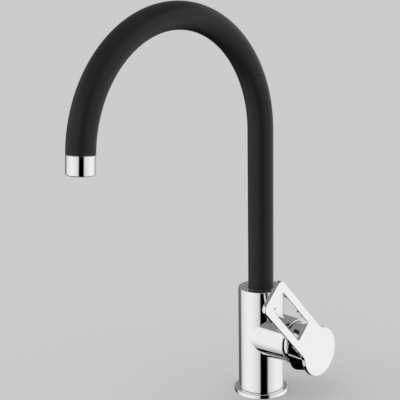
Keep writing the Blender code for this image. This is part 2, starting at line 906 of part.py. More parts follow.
def dome_ring(axis):
    """Chrome dome, round about the lever's pivot, whose skirt screws into the branch."""
    rise = BRANCH_REACH + SEAT_GAP - PIVOT_X
    foot_angle = math.asin(rise / DOME_RADIUS)
    rim_angle = math.pi / 2 - DOME_OPENING_ANGLE
    inner_radius = DOME_RADIUS - DOME_WALL
    skirt_inner = CARTRIDGE_RADIUS - DOME_WALL
    outer = arc((0, 0), DOME_RADIUS, rim_angle, foot_angle, DOME_STEPS)
    inner = arc((0, 0), inner_radius, math.acos(skirt_inner / inner_radius), rim_angle, DOME_STEPS)
    skirt_foot = dome_skirt_foot() - PIVOT_X
    skirt = [(CARTRIDGE_RADIUS, rise), (CARTRIDGE_RADIUS, skirt_foot), (skirt_inner, skirt_foot)]
    return turned("dome_ring", outer + skirt + inner, chrome(), axis, along=along_branch(PIVOT_X))


def turret(axis):
    """Rotating guide that carries the stem's pin and turns with the lever."""
    start = layer_heights()["turret"]
    made = turned(
        "cartridge_turret",
        rod(turret_radius(), start, turret_top()),
        acetal(),
        axis,
        along=along_branch(0),
    )
    half_width = STEM_RADIUS + SEAT_GAP
    half_length = STEM_RADIUS + TURRET_SLOT_PLAY + SEAT_GAP
    slot = extruded(
        "turret_slot",
        rectangle(half_width, half_length),
        start - OVERRUN,
        turret_top() + OVERRUN,
        parent=axis,
    )
    cut(made, slot)
    cut(made, pin_cutter("turret_pin_hole", axis))
    return made


def rectangle(half_width, half_length):
    return [
        (-half_width, -half_length),
        (half_width, -half_length),
        (half_width, half_length),
        (-half_width, half_length),
    ]


def pin_cutter(name, axis):
    length = turret_radius() + OVERRUN
    return turned(
        name,
        rod(PIN_RADIUS + SEAT_GAP, -length, length),
        parent=axis,
        facets=COARSE,
        along=Matrix.Translation((PIVOT_X, 0, 0)) @ ALONG_Y,
    )


def pivot_pin(axis):
    half = turret_radius() - PIN_END_INSET
    return turned(
        "lever_pivot_pin",
        rod(PIN_RADIUS, -half, half),
        steel(),
        axis,
        facets=COARSE,
        along=Matrix.Translation((PIVOT_X, 0, 0)) @ ALONG_Y,
    )


def moving_disc(slide):
    """Ceramic disc with a mixing pocket in the face that lies on the fixed disc."""
    start = layer_heights()["moving_disc"]
    made = turned(
        "moving_ceramic_disc",
        rod(moving_disc_radius(), 0, MOVING_DISC_THICKNESS),
        ceramic(),
        slide,
        along=Matrix.Translation((0, 0, -disc_travel() / 2)) @ along_branch(start),
    )
    pocket = turned(
        "mixing_pocket",
        rod(MIXING_POCKET_RADIUS, -OVERRUN, MIXING_POCKET_DEPTH),
        parent=slide,
        along=Matrix.Translation((0, 0, -disc_travel() / 2)) @ along_branch(start),
    )
    cut(made, pocket)
    return made


def moving_disc_radius():
    return turret_radius() - disc_travel() / 2 - DISC_CLEARANCE


def disc_travel():
    """How far the stem's ball pushes the disc at the lever's full lift."""
    return STEM_BALL_DROP * math.sin(LEVER_LIFT_MOST)


def disc_carrier(slide):
    """Plastic carrier on the moving disc, with a socket for the stem's ball."""
    start = layer_heights()["carrier"]
    made = turned(
        "disc_carrier",
        rod(moving_disc_radius(), 0, CARRIER_THICKNESS),
        grey_plastic(),
        slide,
        along=Matrix.Translation((0, 0, -disc_travel() / 2)) @ along_branch(start),
    )
    floor = PIVOT_X - STEM_BALL_DROP - STEM_BALL_RADIUS - SEAT_GAP
    socket = turned(
        "ball_socket",
        rod(STEM_BALL_RADIUS + 2 * SEAT_GAP, floor, start + CARRIER_THICKNESS + OVERRUN),
        parent=slide,
        facets=COARSE,
        along=along_branch(0),
    )
    cut(made, socket)
    return made


# Lever, which lifts about the pin

def stem(lift):
    """Steel stem from the ball in the carrier, through the pin, into the hub."""
    neck_top = -STEM_NECK_DROP
    ball_angle = math.asin(STEM_NECK_RADIUS / STEM_BALL_RADIUS)
    ball = arc((0, -STEM_BALL_DROP), STEM_BALL_RADIUS, math.pi / 2 - ball_angle, -math.pi / 2, BALL_STEPS)
    ball[-1] = (0, ball[-1][1])
    top = HUB_CAVITY_DEPTH + STEM_GRIP
    made = turned(
        "lever_stem",
        [(0, top), (STEM_RADIUS, top), (STEM_RADIUS, neck_top), (STEM_NECK_RADIUS, neck_top), *ball],
        steel(),
        lift,
        facets=COARSE,
        along=ALONG_X,
    )
    hole = turned(
        "stem_pin_hole",
        rod(PIN_RADIUS + SEAT_GAP, -STEM_RADIUS - OVERRUN, STEM_RADIUS + OVERRUN),
        parent=lift,
        facets=COARSE,
        along=ALONG_Y,
    )
    cut(made, hole)
    return made


def egg_outline(near, far, steps):
    """Hull of two circles given as (shift, radius), shifted along -Z, as (y, z) points."""
    near_shift, near_radius = near
    far_shift, far_radius = far
    tangent = math.acos((far_radius - near_radius) / (far_shift - near_shift))
    start = QUARTER_TURN - tangent
    stop = QUARTER_TURN + tangent
    top = arc((0, -near_shift), near_radius, start, stop, steps)
    bottom = arc((0, -far_shift), far_radius, stop, start + 2 * math.pi, steps + steps)
    return top + bottom


def hub_back(height):
    """The hub's back plane, from the pivot: it leans away from the branch towards the lever's tip."""
    return BRANCH_REACH + HUB_BACK_GAP - PIVOT_X + math.tan(HUB_BACK_TILT) * height


def hub_front():
    return HUB_CAVITY_DEPTH + HUB_FLOOR


def hub_cavity(lift):
    """Helper for the room inside the hub: a straight bore, then a cone that follows the undercut."""
    return turned(
        "hub_cavity",
        [
            (0, HUB_CAVITY_DEPTH),
            (HUB_CAVITY_END_RADIUS, HUB_CAVITY_DEPTH),
            (HUB_BORE_RADIUS, HUB_BORE_DEPTH),
            (HUB_BORE_RADIUS, 0),
            (0, 0),
        ],
        parent=lift,
        facets=FINE,
        along=Matrix.Translation((0, 0, -HUB_BORE_SHIFT)) @ ALONG_X,
    )


def lever_hub(lift):
    """Chrome hub behind the plate, hollow over the dome, undercut towards the plate on the tip's side."""
    near = (HUB_BACK_SHIFT, HUB_BACK_RADIUS)
    far = (DISC_SHIFT - HUB_DRAFT, DISC_RADIUS - HUB_DRAFT)
    narrow = [(shift, radius - HUB_EDGE) for shift, radius in (near, far)]
    front_near = (HUB_FRONT_SHIFT - HUB_FRONT_FLAT, HUB_FRONT_RADIUS)
    front_far = (HUB_FRONT_SHIFT, HUB_FRONT_RADIUS)
    back = [(hub_back(z), y, z) for y, z in egg_outline(*narrow, HUB_STEPS)]
    shoulder = [(hub_back(z) + HUB_EDGE, y, z) for y, z in egg_outline(near, far, HUB_STEPS)]
    front = [(hub_front(), y, z) for y, z in egg_outline(front_near, front_far, HUB_STEPS)]
    made = lofted("lever_hub", [back, shoulder, front], chrome(), lift)
    cut(made, hub_cavity(lift))
    boss = turned(
        "hub_boss",
        rod(HUB_BOSS_RADIUS, HUB_CAVITY_DEPTH - HUB_BOSS_LENGTH, HUB_CAVITY_DEPTH + OVERRUN),
        parent=lift,
        along=ALONG_X,
    )
    join(made, boss)
    stem_hole = turned(
        "hub_stem_hole",
        rod(STEM_RADIUS + SEAT_GAP, 0, HUB_CAVITY_DEPTH + STEM_GRIP + SEAT_GAP),
        parent=lift,
        facets=COARSE,
        along=ALONG_X,
    )
    cut(made, stem_hole)
    screw_hole = turned(
        "hub_screw_hole",
        rod(LEVER_SCREW_RADIUS + SEAT_GAP, 0, DISC_SHIFT + DISC_RADIUS + OVERRUN),
        parent=lift,
        facets=COARSE,
        along=lever_screw_axis(),
    )
    cut(made, screw_hole)
    return made


def lever_screw_axis():
    """The grub screw's axis: through the hub's floor from the side away from the lever's tip."""
    middle = HUB_CAVITY_DEPTH + STEM_GRIP / 2
    return Matrix.Translation((middle, 0, 0)) @ Matrix.Rotation(math.pi, 4, "X")


def lever_screw(lift):
    start = STEM_RADIUS + SEAT_GAP
    made = turned(
        "lever_grub_screw",
        rod(LEVER_SCREW_RADIUS, start, start + LEVER_SCREW_LENGTH),
        steel(),
        lift,
        facets=COARSE,
        along=lever_screw_axis(),
    )
    mouth = lever_screw_axis() @ Matrix.Translation((0, 0, start + LEVER_SCREW_LENGTH))
    key = hex_socket("lever_screw_key", mouth)
    key.parent = lift
    cut(made, key)
    return made


def screw_plug(lift):
    """Plastic plug that closes the grub screw's hole under the hub."""
    end = DISC_SHIFT + DISC_RADIUS - PLATE_EDGE - HUB_DRAFT
    return turned(
        "screw_hole_plug",
        rod(LEVER_SCREW_RADIUS, end - PLUG_LENGTH, end),
        grey_plastic(),
        lift,
        facets=COARSE,
        along=lever_screw_axis(),
    )


def plate_outline():
    """Disc with a loop: a straight-sided frame that meets the disc in a fillet on each side."""
    centre = -DISC_SHIFT
    reach = DISC_RADIUS + LOOP_FILLET
    fillet_y = LOOP_HALF_WIDTH + LOOP_FILLET
    fillet_z = centre + math.sqrt(reach**2 - fillet_y**2)
    meet = math.atan2(fillet_z - centre, fillet_y)
    corner_y = LOOP_HALF_WIDTH - LOOP_CORNER
    corner_z = LOOP_TIP - LOOP_CORNER
    right_tip = arc((corner_y, corner_z), LOOP_CORNER, 0, math.pi / 2, CORNER_STEPS)
    left_tip = arc((-corner_y, corner_z), LOOP_CORNER, math.pi / 2, math.pi, CORNER_STEPS)
    left_fillet = arc((-fillet_y, fillet_z), LOOP_FILLET, 0, -meet, FILLET_STEPS)
    disc = arc((0, centre), DISC_RADIUS, math.pi - meet, 2 * math.pi + meet, DISC_STEPS)
    right_fillet = arc((fillet_y, fillet_z), LOOP_FILLET, math.pi + meet, math.pi, FILLET_STEPS)
    return right_tip + left_tip + left_fillet + disc[1:-1] + right_fillet


def window_outline():
    """Rounded slot of the loop."""
    right = WINDOW_HALF_WIDTH - WINDOW_CORNER
    top = WINDOW_TOP - WINDOW_CORNER
    foot = WINDOW_FOOT + WINDOW_CORNER
    corners = [(right, top), (-right, top), (-right, foot), (right, foot)]
    points = []
    for quarter, corner in enumerate(corners):
        start = quarter * math.pi / 2
        points += arc(corner, WINDOW_CORNER, start, start + math.pi / 2, EDGE_STEPS)
    return points


def lever_plate(lift):
    """Flat chrome handle: a round disc over the hub and an open loop to the tip."""
    back = hub_front() + SEAT_GAP
    made = extruded("lever_plate", plate_outline(), back, back + PLATE_THICKNESS, chrome(), lift)
    window = extruded(
        "plate_window",
        window_outline(),
        back - OVERRUN,
        back + PLATE_THICKNESS + OVERRUN,
        parent=lift,
    )
    cut(made, window)
    bevel(made, PLATE_EDGE)
    return made


def clear_scene():
    for found in list(bpy.data.objects):
        bpy.data.objects.remove(found)


def build():
    clear_scene()
    body_casting()
    base_ring()
    base_gasket()
    inlet_nipple("hot", -1)
    inlet_nipple("cold", 1)
    body_screw()
    lower_bush()
    upper_bush()
    cover_ring()

    spout_pivot = empty("spout_pivot", Matrix.Identity(4))
    spout_tube(spout_pivot)
    spout_tail(spout_pivot)
    o_ring("lower_spout_o_ring", LOWER_GROOVE, spout_pivot)
    o_ring("upper_spout_o_ring", UPPER_GROOVE, spout_pivot)
    nozzle = nozzle_frame(spout_pivot)
    nozzle_sleeve(nozzle)
    aerator_insert(nozzle)
    aerator_screen(nozzle)
    aerator_seal(nozzle)

    branch_axis = empty("branch_axis", Matrix.Translation((0, 0, BRANCH_HEIGHT)))
    starts = layer_heights()
    cartridge_seal(branch_axis)
    ported_disc(
        "cartridge_base",
        CARTRIDGE_RADIUS,
        CARTRIDGE_BASE_THICKNESS,
        starts["base"],
        acetal(),
        branch_axis,
    )
    ported_disc(
        "fixed_ceramic_disc",
        turret_radius(),
        FIXED_DISC_THICKNESS,
        starts["fixed_disc"],
        ceramic(),
        branch_axis,
    )
    cartridge_housing(branch_axis)
    retaining_nut(branch_axis)
    dome_ring(branch_axis)

    turn_axis = empty("lever_turn_axis", Matrix.Rotation(LEVER_LEAN, 4, "X"), branch_axis)
    turret(turn_axis)
    pivot_pin(turn_axis)
    slide = empty("disc_slide_axis", Matrix.Identity(4), turn_axis)
    moving_disc(slide)
    disc_carrier(slide)
    lift = empty("lever_lift_axis", Matrix.Translation((PIVOT_X, 0, 0)), turn_axis)
    stem(lift)
    lever_hub(lift)
    lever_screw(lift)
    screw_plug(lift)
    lever_plate(lift)


build()
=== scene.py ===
"""Looks of the kitchen mixer tap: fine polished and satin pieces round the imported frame, a studio, a camera.

Lengths are in metres and angles in radians, except where a name or a comment says degrees. Every new piece
keeps the place and size of what it stands for.
"""
import json
import math

import bmesh
import bpy
from mathutils import Matrix, Vector


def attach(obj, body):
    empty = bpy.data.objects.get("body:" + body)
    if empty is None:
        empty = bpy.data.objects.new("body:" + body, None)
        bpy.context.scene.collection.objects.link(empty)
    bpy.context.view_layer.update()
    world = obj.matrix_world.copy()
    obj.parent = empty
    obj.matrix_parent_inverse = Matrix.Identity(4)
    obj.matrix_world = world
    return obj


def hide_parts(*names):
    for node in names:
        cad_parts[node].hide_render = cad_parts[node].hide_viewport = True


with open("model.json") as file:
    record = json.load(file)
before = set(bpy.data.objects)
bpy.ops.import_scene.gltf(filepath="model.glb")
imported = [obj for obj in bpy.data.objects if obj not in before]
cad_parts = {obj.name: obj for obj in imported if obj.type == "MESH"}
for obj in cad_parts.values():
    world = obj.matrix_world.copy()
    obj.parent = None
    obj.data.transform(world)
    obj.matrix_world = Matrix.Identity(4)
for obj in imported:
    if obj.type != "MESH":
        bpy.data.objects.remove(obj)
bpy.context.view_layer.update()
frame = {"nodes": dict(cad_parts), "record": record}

# Clearances
SEAT_GAP = 0.0003
OVERRUN = 0.001

# Barrel
BODY_RADIUS = 0.0225
BODY_TOP = 0.1085
BODY_FOOT = 0.0043
BODY_EDGE = 0.0007
FOOT_SPIGOT_RADIUS = 0.0205
SOCKET_RADIUS = 0.0153
SOCKET_FLOOR = 0.0819
RECESS_RADIUS = 0.0170
RECESS_DEPTH = 0.0120
STUD_HOLE_X = -0.0090
STUD_HOLE_RADIUS = 0.0034
STUD_HOLE_DEPTH = 0.0180
INLET_X = 0.0040
INLET_Y = 0.0070
INLET_RADIUS = 0.0049
INLET_DEPTH = 0.0090
SCREW_HOLE_HEIGHT = 0.0943
SCREW_HOLE_RADIUS = 0.0025

# Branch that holds the cartridge
BRANCH_HEIGHT = 0.0613
BRANCH_REACH = 0.0447
BRANCH_ROOT_RADIUS = 0.0224
BRANCH_END_RADIUS = 0.0218
BRANCH_EDGE = 0.0008
CHAMBER_RADIUS = 0.0176
CHAMBER_FLOOR = 0.0140

# Base ring and cover ring
BASE_RING_RADIUS = 0.02685
BASE_RING_HEIGHT = 0.0040
BASE_RING_EDGE = 0.0007
GASKET_GROOVE_INNER = 0.02225
GASKET_GROOVE_OUTER = 0.02535
GASKET_GROOVE_DEPTH = 0.0019
COVER_RING_FOOT = 0.1071

# Spout
TUBE_RADIUS = 0.0125
TUBE_WALL = 0.0012
TUBE_FOOT = 0.1023
ARC_HEIGHT = 0.2655
ARC_RADIUS = 0.1123
ARC_SWEEP = math.radians(176.4)
LEG_LENGTH = 0.0013
NOZZLE_RADIUS = 0.0124
NOZZLE_LENGTH = 0.0167
NOZZLE_EDGE = 0.0014
NOZZLE_SPIGOT_RADIUS = 0.0110
NOZZLE_SPIGOT_LENGTH = 0.0052
NOZZLE_BORE = 0.0102
NOZZLE_LIP_RADIUS = 0.0090
NOZZLE_LIP_HEIGHT = 0.0014

# Dome between the branch and the hub, measured from the lever's pivot
PIVOT_X = 0.0377
DOME_FOOT_RADIUS = 0.0196
DOME_FOOT_HEIGHT = 0.0078
DOME_ROUNDING = 0.0040
DOME_LEAN = math.radians(37.0)
DOME_TOP = 0.0145
DOME_INNER_RADIUS = 0.0187
DOME_OPENING = math.radians(43.0)
DOME_SKIRT_RADIUS = 0.0173
DOME_SKIRT_INNER = 0.0157
DOME_SKIRT_HEIGHT = 0.0028

# Hub: each end is the hull of two circles, given as (shift away from the lever's tip, radius)
LEVER_LEAN = math.radians(44.2)
HUB_BACK_NEAR = (0.0005, 0.0207)
HUB_BACK_FAR = (0.0080, 0.0234)
HUB_FRONT_NEAR = (0.0148, 0.0168)
HUB_FRONT_FAR = (0.0150, 0.0169)
HUB_BACK = 0.0118
HUB_BACK_TILT = math.radians(5.14)
HUB_FRONT = 0.0275
HUB_EDGE = 0.0015
HUB_BORE_SHIFT = 0.0023
HUB_BORE_RADIUS = 0.0190
HUB_BORE_DEPTH = 0.0130
HUB_CAVITY_END_RADIUS = 0.0104
HUB_CAVITY_DEPTH = 0.0205
HUB_BOSS_RADIUS = 0.0060
HUB_BOSS_FOOT = 0.0145
HUB_STEM_HOLE_RADIUS = 0.0043
HUB_STEM_HOLE_DEPTH = 0.0242
HUB_SCREW_HEIGHT = 0.0222
HUB_SCREW_HOLE_RADIUS = 0.0022

# Lever plate
DISC_RADIUS = 0.0242
DISC_SHIFT = 0.0088
PLATE_BACK = HUB_FRONT + SEAT_GAP
PLATE_THICKNESS = 0.0040
PLATE_EDGE = 0.0009
LOOP_HALF_WIDTH = 0.0179
LOOP_TIP = 0.0950
LOOP_CORNER = 0.0065
LOOP_FILLET = 0.0130
WINDOW_HALF_WIDTH = 0.0099
WINDOW_FOOT = 0.0292
WINDOW_TOP = 0.0832
WINDOW_CORNER = 0.0012

# Fineness of the meshes
ROUND_STEPS = 192
HOLE_STEPS = 48
TUBE_STEPS = 96
ARC_STEPS = 160
ROUNDING_STEPS = 6
CURVE_STEPS = 2 * ROUNDING_STEPS
MERGE = 1e-7
SHARP = math.radians(32.0)
BEVEL_FROM = math.radians(60.0)
ON_SURFACE = 6e-5
SQUARE_SHARE = 0.999
UPRIGHT_SHARE = 0.01

# Camera that stands where the photographer stood
CAMERA_PLACE = (0.6288, -0.7464, 0.4064)
CAMERA_YAW = math.radians(43.59)
CAMERA_PITCH = math.radians(12.12)
CAMERA_ROLL = math.radians(0.91)
CAMERA_LENS = 91.81
SENSOR_WIDTH = 36.0
CLIP_START = 0.01
CLIP_END = 100

# Studio: every range and turn here is in degrees, every level a share of full white
BACKDROP_LEVEL = 0.604
FILL_LEVEL = 0.80
NEAR_PANEL = {"left": -172, "right": -54, "soft_left": 7, "soft_right": 4, "level": 0.95}
FAR_PANEL = {"left": -15, "right": 112, "soft_left": 6, "soft_right": 10, "level": 0.97}
PANEL_FALL = 0.36
PANEL_TOP = (31, 35)
PANEL_FADE = (-58, -26)
PANEL_LOWEST_SHARE = 0.5
FULL_PATCH_START = (-112, -84)
FULL_PATCH_STOP = (-50, -40)
FOOT_SOFTNESS = 0.5
FAR_PANEL_FOOT = -72
NEAR_PANEL_FOOT = -49.7
NEAR_PANEL_FOOT_AT = -159
NEAR_PANEL_FOOT_SLOPE = 0.075
GAP_START = (-66, -50)
GAP_STOP = (-22, -8)
GAP_TOP = (30, 50)
ROOM_LEVEL = 0.165
ROOM_GAIN = 0.095
ROOM_HORIZON = (-10, 10)
ROOM_FOOT = (-34, -14)
KEY_LAMP = {"azimuth": -100, "elevation": 50, "strength": 0.45, "spread": 60}
FLOOR_ALBEDO = 0.66
FLOOR_SIZE = 30.0

HALF_TURN = math.pi
QUARTER_TURN = math.pi / 2
FULL_TURN = 2 * math.pi
ALONG_X = Matrix.Rotation(QUARTER_TURN, 4, "Y")
ALONG_Y = Matrix.Rotation(-QUARTER_TURN, 4, "X")
BRANCH = Matrix.Translation((0, 0, BRANCH_HEIGHT))
LEVER = BRANCH @ Matrix.Rotation(LEVER_LEAN, 4, "X") @ Matrix.Translation((PIVOT_X, 0, 0))


# Shader trees

class Value:
    """One output of a shader node. A sum, difference or product of values adds a Math node."""

    def __init__(self, tree, socket):
        self.tree = tree
        self.socket = socket

    def maths(self, operation, *values):
        return self.tree.maths(operation, self, *values)

    def __add__(self, other):
        return self.maths("ADD", other)

    def __sub__(self, other):
        return self.maths("SUBTRACT", other)

    def __mul__(self, other):
        return self.maths("MULTIPLY", other)

    def __rsub__(self, other):
        return self.tree.maths("SUBTRACT", other, self)

    __radd__ = __add__
    __rmul__ = __mul__


class Tree:
    """A shader tree that nodes are added to."""

    def __init__(self, node_tree):
        self.nodes = node_tree.nodes
        self.links = node_tree.links

    def feed(self, socket, value):
        if isinstance(value, Value):
            self.links.new(value.socket, socket)
        else:
            socket.default_value = value

    def node(self, kind, settings=None, values=None, output=0):
        """Any node: its settings are set first, then its sockets are fed."""
        made = self.nodes.new(kind)
        for name, value in (settings or {}).items():
            setattr(made, name, value)
        for key, value in (values or {}).items():
            self.feed(made.inputs[key], value)
        return Value(self, made.outputs[output])

    def split(self, kind, outputs, values=None):
        """Several outputs of one node."""
        made = self.node(kind, None, values).socket.node
        return [Value(self, made.outputs[name]) for name in outputs]

    def maths(self, operation, *values):
        return self.node("ShaderNodeMath", {"operation": operation}, dict(enumerate(values)))

    def mix(self, share, first, second):
        """A colour between two colours."""
        return self.node("ShaderNodeMix", {"data_type": "RGBA"}, {0: share, 6: first, 7: second}, 2)

    def step(self, value, low, high):
        """Rises smoothly from 0 at low to 1 at high."""
        settings = {"interpolation_type": "SMOOTHSTEP"}
        return self.node("ShaderNodeMapRange", settings, {0: value, 1: low, 2: high})

    def noise(self, scale, detail, roughness, stretch=(1, 1, 1)):
        place = self.node("ShaderNodeTexCoord", output="Object")
        place = self.node("ShaderNodeMapping", None, {"Vector": place, "Scale": stretch})
        values = {"Vector": place, "Scale": scale, "Detail": detail, "Roughness": roughness}
        return self.node("ShaderNodeTexNoise", None, values)

    def bump(self, height, strength, distance):
        values = {"Height": height, "Strength": strength, "Distance": distance}
        return self.node("ShaderNodeBump", None, values)


def grey(level):
    return (level, level, level, 1.0)


def colour(red, green, blue):
    return (red, green, blue, 1.0)


def tree_of(made):
    """The shader tree of a new material or world."""
    made.use_nodes = True
    return Tree(made.node_tree)


def material(name, recipe):
    """A material whose recipe gives the Principled shader's sockets."""
    made = bpy.data.materials.new(name)
    tree = tree_of(made)
    shader = tree.nodes["Principled BSDF"]
    for socket, value in recipe(tree).items():
        tree.feed(shader.inputs[socket], value)
    return made


def rough(least, *gains):
    """A roughness that grows from its least value by each (gain, pattern)."""
    total = least
    for gain, pattern in gains:
        total = total + pattern * gain
    return total


def chrome(tree):
    """Bright plating over polished brass, with faint wipe marks and a trace of waviness."""
    wiped = tree.noise(scale=90, detail=5, roughness=0.6, stretch=(1, 1, 0.35))
    haze = tree.step(wiped, low=0.42, high=0.78)
    wave = tree.noise(scale=150, detail=1, roughness=0.4)
    return {
        "Base Color": tree.mix(haze, colour(0.875, 0.88, 0.885), colour(0.855, 0.86, 0.868)),
        "Metallic": 1.0,
        "Roughness": rough(0.025, (0.025, haze)),
        "Normal": tree.bump(wave, strength=0.02, distance=0.0004),
    }


def satin_black(tree):
    """Black coating with a soft sheen and a fine orange-peel skin."""
    peel = tree.noise(scale=1400, detail=3, roughness=0.6)
    cloud = tree.noise(scale=45, detail=4, roughness=0.6)
    return {
        "Base Color": tree.mix(cloud, colour(0.014, 0.014, 0.015), colour(0.018, 0.018, 0.019)),
        "Specular IOR Level": 0.2,
        "Roughness": rough(0.30, (0.05, cloud), (0.03, peel)),
        "Normal": tree.bump(peel, strength=0.10, distance=0.0001),
    }


def machined_brass(tree):
    """Turned brass with fine tool rings and a dull, slightly darker bloom."""
    rings = tree.noise(scale=900, detail=2, roughness=0.6, stretch=(0.1, 0.1, 3))
    bloom = tree.noise(scale=220, detail=4, roughness=0.6)
    return {
        "Base Color": tree.mix(bloom, colour(0.72, 0.55, 0.28), colour(0.60, 0.44, 0.22)),
        "Metallic": 1.0,
        "Roughness": rough(0.24, (0.16, rings)),
        "Normal": tree.bump(rings, strength=0.25, distance=0.0001),
    }


def machined_steel(tree):
    """Stainless screw steel with a drawn grain."""
    grain = tree.noise(scale=1600, detail=3, roughness=0.6, stretch=(1, 1, 0.2))
    return {
        "Base Color": tree.mix(grain, colour(0.60, 0.60, 0.61), colour(0.50, 0.50, 0.51)),
        "Metallic": 1.0,
        "Roughness": rough(0.22, (0.16, grain)),
        "Normal": tree.bump(grain, strength=0.12, distance=0.0001),
    }


def black_rubber(tree):
    """Moulded rubber with a matt, slightly dusty skin."""
    dust = tree.noise(scale=700, detail=5, roughness=0.7)
    return {
        "Base Color": tree.mix(tree.step(dust, low=0.45, high=0.8), grey(0.018), grey(0.035)),
        "Roughness": rough(0.68, (0.18, dust)),
        "Normal": tree.bump(dust, strength=0.25, distance=0.0001),
    }


def moulded(base, shade, least_roughness):
    """A recipe for a moulded plastic with a fine sparked skin."""

    def recipe(tree):
        skin = tree.noise(scale=1800, detail=3, roughness=0.6)
        tone = tree.noise(scale=130, detail=3, roughness=0.5)
        return {
            "Base Color": tree.mix(tone, base, shade),
            "Roughness": rough(least_roughness, (0.10, skin)),
            "Normal": tree.bump(skin, strength=0.12, distance=0.0001),
        }

    return recipe


WHITE_PLASTIC = moulded(colour(0.78, 0.78, 0.76), colour(0.73, 0.73, 0.70), least_roughness=0.40)
GREY_PLASTIC = moulded(colour(0.20, 0.21, 0.22), colour(0.17, 0.18, 0.19), least_roughness=0.45)
LAPPED_CERAMIC = moulded(colour(0.86, 0.86, 0.84), colour(0.82, 0.82, 0.80), least_roughness=0.14)
FINISHES = {
    "polished_chrome": material("bright_chrome", chrome),
    "satin_black": material("satin_black_coat", satin_black),
    "brass": material("turned_brass", machined_brass),
    "stainless_steel": material("drawn_steel", machined_steel),
    "black_rubber": material("seal_rubber", black_rubber),
    "white_acetal": material("white_acetal_moulding", WHITE_PLASTIC),
    "grey_plastic": material("grey_moulding", GREY_PLASTIC),
    "white_ceramic": material("lapped_ceramic", LAPPED_CERAMIC),
}


# Mesh helpers

def arc_points(centre, radius, start, stop, steps):
    """Points of an arc, from one angle to another, both included."""
    turns = [start + (stop - start) * step / steps for step in range(steps + 1)]
    return [(centre[0] + radius * math.cos(turn), centre[1] + radius * math.sin(turn)) for turn in turns]


def outline(bm, points, roundings=None, closed=True):
    """A chain of edges through (radius, height) points. The roundings give sizes by a corner's index."""
    corners = [bm.verts.new((radius, 0, height)) for radius, height in points]
    following = corners[1:] + corners[:1] if closed else corners[1:]
    for pair in zip(corners, following):
        bm.edges.new(pair)
    for index, size in (roundings or {}).items():
        rounded(bm, [corners[index]], size, "VERTICES")


def rounded(bm, geometry, size, affected):
    """Rounds corners ("VERTICES") or edges ("EDGES") off."""
    bmesh.ops.bevel(
        bm,
        geom=geometry,
        offset=size,
        offset_type="OFFSET",
        segments=ROUNDING_STEPS,
        profile=0.5,
        affect=affected,
        material=-1,
        clamp_overlap=affected == "EDGES",
    )


def turned(points, roundings=None, closed=True, steps=ROUND_STEPS, along=None):
    """A lathe shape about Z, then laid by a matrix."""
    bm = bmesh.new()
    outline(bm, points, roundings, closed)
    bmesh.ops.spin(
        bm,
        geom=bm.verts[:] + bm.edges[:],
        cent=(0, 0, 0),
        axis=(0, 0, 1),
        angle=FULL_TURN,
        steps=steps,
        use_merge=True,
    )
    if along:
        bmesh.ops.transform(bm, matrix=along, verts=bm.verts)
    return bm


def rod(radius, foot, top, steps=HOLE_STEPS, along=None):
    """A plain round bar, mostly for drilling."""
    return turned([(0, top), (radius, top), (radius, foot), (0, foot)], None, False, steps, along)


def linked(name, data):
    """A new object in the scene."""
    made = bpy.data.objects.new(name, data)
    bpy.context.scene.collection.objects.link(made)
    return made


def made_object(name, bm):
    bmesh.ops.remove_doubles(bm, verts=bm.verts, dist=MERGE)
    bmesh.ops.recalc_face_normals(bm, faces=bm.faces)
    mesh = bpy.data.meshes.new(name)
    bm.to_mesh(mesh)
    bm.free()
    return linked(name, mesh)


def carved(target, operation, *tools):
    """Joins the tools on, or cuts them out, and leaves one plain mesh."""
    for tool in tools:
        helper = made_object("tool", tool)
        modifier = target.modifiers.new("carve", "BOOLEAN")
        modifier.operation = operation
        modifier.solver = "EXACT"
        modifier.object = helper
        bpy.context.view_layer.update()
        graph = bpy.context.evaluated_depsgraph_get()
        mesh = bpy.data.meshes.new_from_object(target.evaluated_get(graph))
        target.modifiers.clear()
        target.data = mesh
        bpy.data.objects.remove(helper)


def smoothed(piece):
    """Round sides shade smoothly, flats stay flat and edges stay crisp."""
    piece.data.shade_smooth()
    piece.data.set_sharp_from_angle(angle=SHARP)
    weighted = piece.modifiers.new("even flats", "WEIGHTED_NORMAL")
    weighted.mode = "FACE_AREA"
    weighted.keep_sharp = True


def placed(piece, slot, body, *replaced):
    """Gives a piece its finish and body, and hides what it stands for."""
    piece.data.materials.clear()
    piece.data.materials.append(FINISHES[slot])
    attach(piece, body)
    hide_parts(*replaced)


# Fixed body

def barrel_shape():
    points = [
        (0, BODY_TOP),
        (BODY_RADIUS, BODY_TOP),
        (BODY_RADIUS, BODY_FOOT),
        (FOOT_SPIGOT_RADIUS, BODY_FOOT),
        (FOOT_SPIGOT_RADIUS, SEAT_GAP),
        (0, SEAT_GAP),
    ]
    return turned(points, {1: BODY_EDGE}, closed=False)


def branch_shape():
    points = [
        (0, BRANCH_REACH),
        (BRANCH_END_RADIUS, BRANCH_REACH),
        (BRANCH_ROOT_RADIUS, BODY_RADIUS),
        (BRANCH_ROOT_RADIUS, 0),
        (0, 0),
    ]
    return turned(points, {1: BRANCH_EDGE}, closed=False, along=BRANCH @ ALONG_X)


